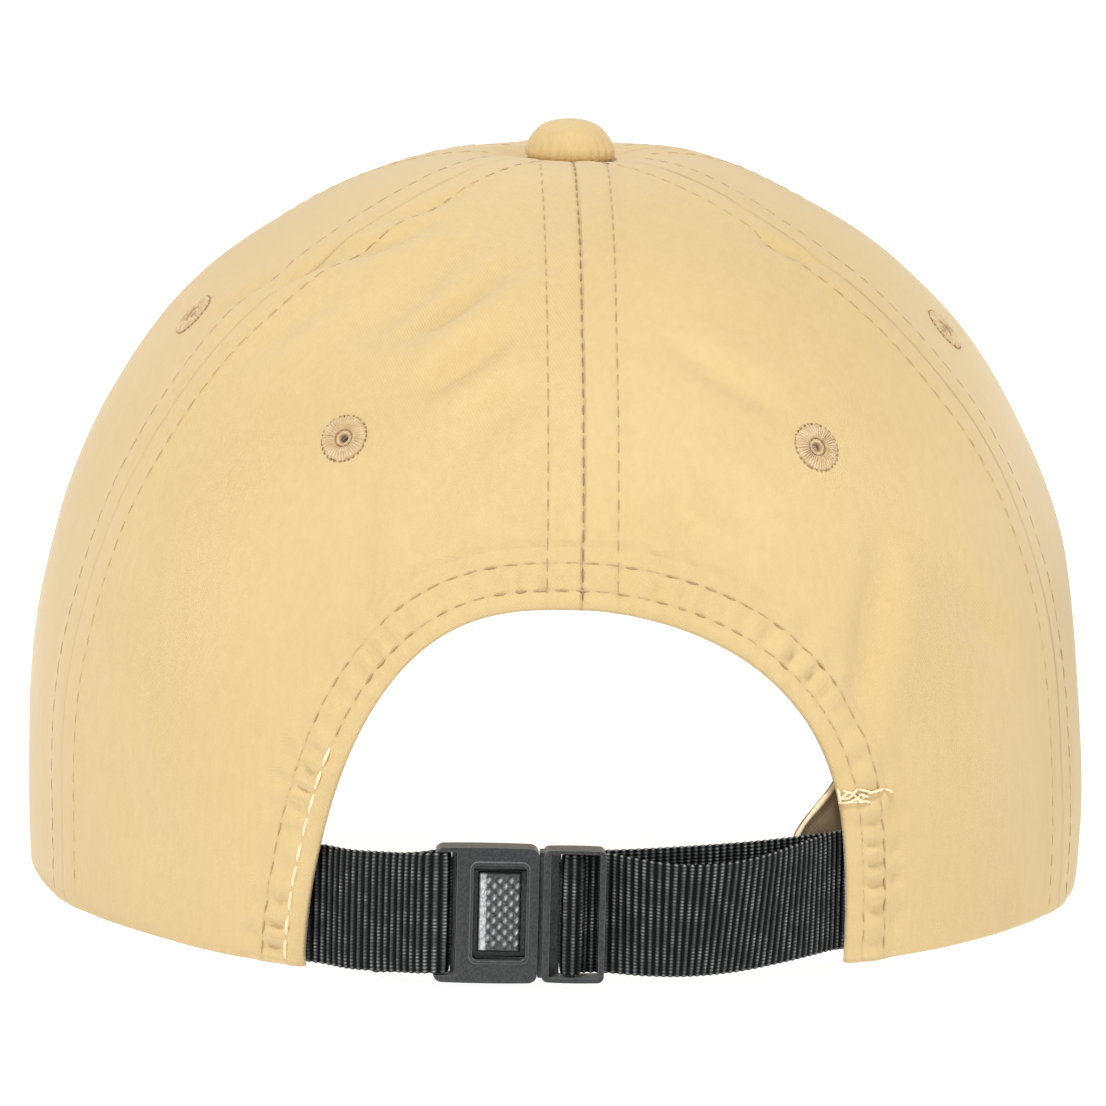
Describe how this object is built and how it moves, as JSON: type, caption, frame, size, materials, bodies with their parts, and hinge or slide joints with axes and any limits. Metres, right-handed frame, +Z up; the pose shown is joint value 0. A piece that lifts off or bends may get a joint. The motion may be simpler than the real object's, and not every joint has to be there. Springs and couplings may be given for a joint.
{
  "type": "baseball cap",
  "caption": "Six-panel sand-coloured cap with curved visor, arch opening at the rear and a black webbing strap closed by a push-release buckle.",
  "frame": {"origin": "on the surface the cap rests on, below the middle of its bounding box", "axes": "+Z up, visor towards -Y, strap towards +Y, wearer's left towards +X"},
  "size_m": [0.179, 0.2714, 0.1296],
  "materials": {
    "crown_fabric": "matte",
    "lining": "matte",
    "sweatband": "matte",
    "padding": "matte",
    "buckram": "matte",
    "thread": "satin",
    "webbing": "satin",
    "buckle": "satin",
    "visor_board": "matte",
    "metal": "satin"
  },
  "bodies": {
    "cap": {"panel_back_left": "crown_fabric", "panel_back_right": "crown_fabric", "panel_side_left": "crown_fabric", "panel_side_right": "crown_fabric", "panel_front_left": "crown_fabric", "panel_front_right": "crown_fabric", "buckram_left": "buckram", "buckram_right": "buckram", "seam_tape_rear_left": "lining", "seam_tape_rear_right": "lining", "seam_tape_front_left": "lining", "seam_tape_front_right": "lining", "seam_tape_centre": "lining", "arch_facing": "lining", "sweatband_cover": "sweatband", "sweatband_padding": "padding", "tail_pocket": "lining", "visor_upper_cover": "crown_fabric", "visor_board": "visor_board", "visor_under_cover": "crown_fabric", "eyelet_back_left": "thread", "eyelet_back_right": "thread", "eyelet_side_left": "thread", "eyelet_side_right": "thread", "eyelet_front_left": "thread", "eyelet_front_right": "thread", "button_cover": "crown_fabric", "button_core": "metal", "button_back_plate": "metal", "strap_left": "webbing", "strap_right": "webbing", "buckle_socket": "buckle"},
    "plug": {"buckle_plug": "buckle"},
    "latch": {"buckle_latch": "buckle"}
  },
  "joints": [
    {"name": "buckle_release", "type": "slide", "parent": "cap", "child": "plug", "axis": [-1, 0, 0], "range_m": [0, 0.013], "deforming": ["strap_right", "buckle_latch"]},
    {"name": "button_press", "type": "slide", "parent": "plug", "child": "latch", "axis": [0, -1, 0], "range_m": [0, 0.001], "stiffness_N_per_m": 400}
  ]
}
